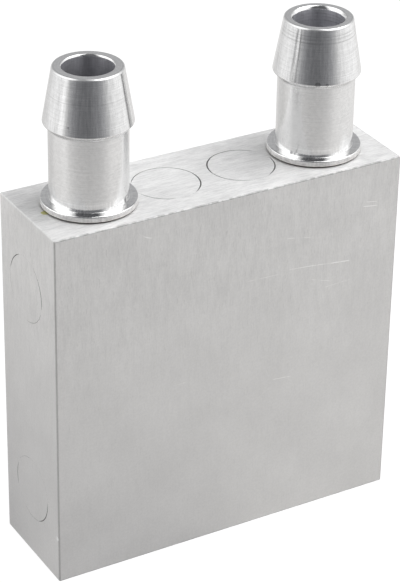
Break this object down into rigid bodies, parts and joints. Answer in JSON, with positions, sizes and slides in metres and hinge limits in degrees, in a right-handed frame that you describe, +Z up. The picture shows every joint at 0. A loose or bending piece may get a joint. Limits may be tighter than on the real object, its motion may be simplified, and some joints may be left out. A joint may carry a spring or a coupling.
{
  "type": "liquid cooling cold plate",
  "caption": "Square aluminium cold plate block with drilled coolant channels, barbed hose fittings on one end and flush plugs closing the drill holes.",
  "frame": {"origin": "middle of the block's lower end face, which is the bottom centre of the whole part's box", "axes": "+X along the row of ports, from the inlet to the outlet fitting; +Y through the plate's thickness, towards the back cooling face; +Z up towards the hose fittings"},
  "size_m": [0.04, 0.012, 0.0547],
  "materials": {
    "block_aluminium": "brushed along the height on the faces and along the length on the ends",
    "plug_aluminium": "ground flush with the face round it",
    "turned_aluminium": "bright turned, with fine tool rings"
  },
  "bodies": {
    "root": {"block": "block_aluminium", "inlet_fitting": "turned_aluminium", "outlet_fitting": "turned_aluminium", "left_top_plug": "plug_aluminium", "right_top_plug": "plug_aluminium", "upper_side_plug": "plug_aluminium", "lower_side_plug": "plug_aluminium", "upper_divider": "plug_aluminium", "lower_divider": "plug_aluminium"}
  },
  "joints": []
}
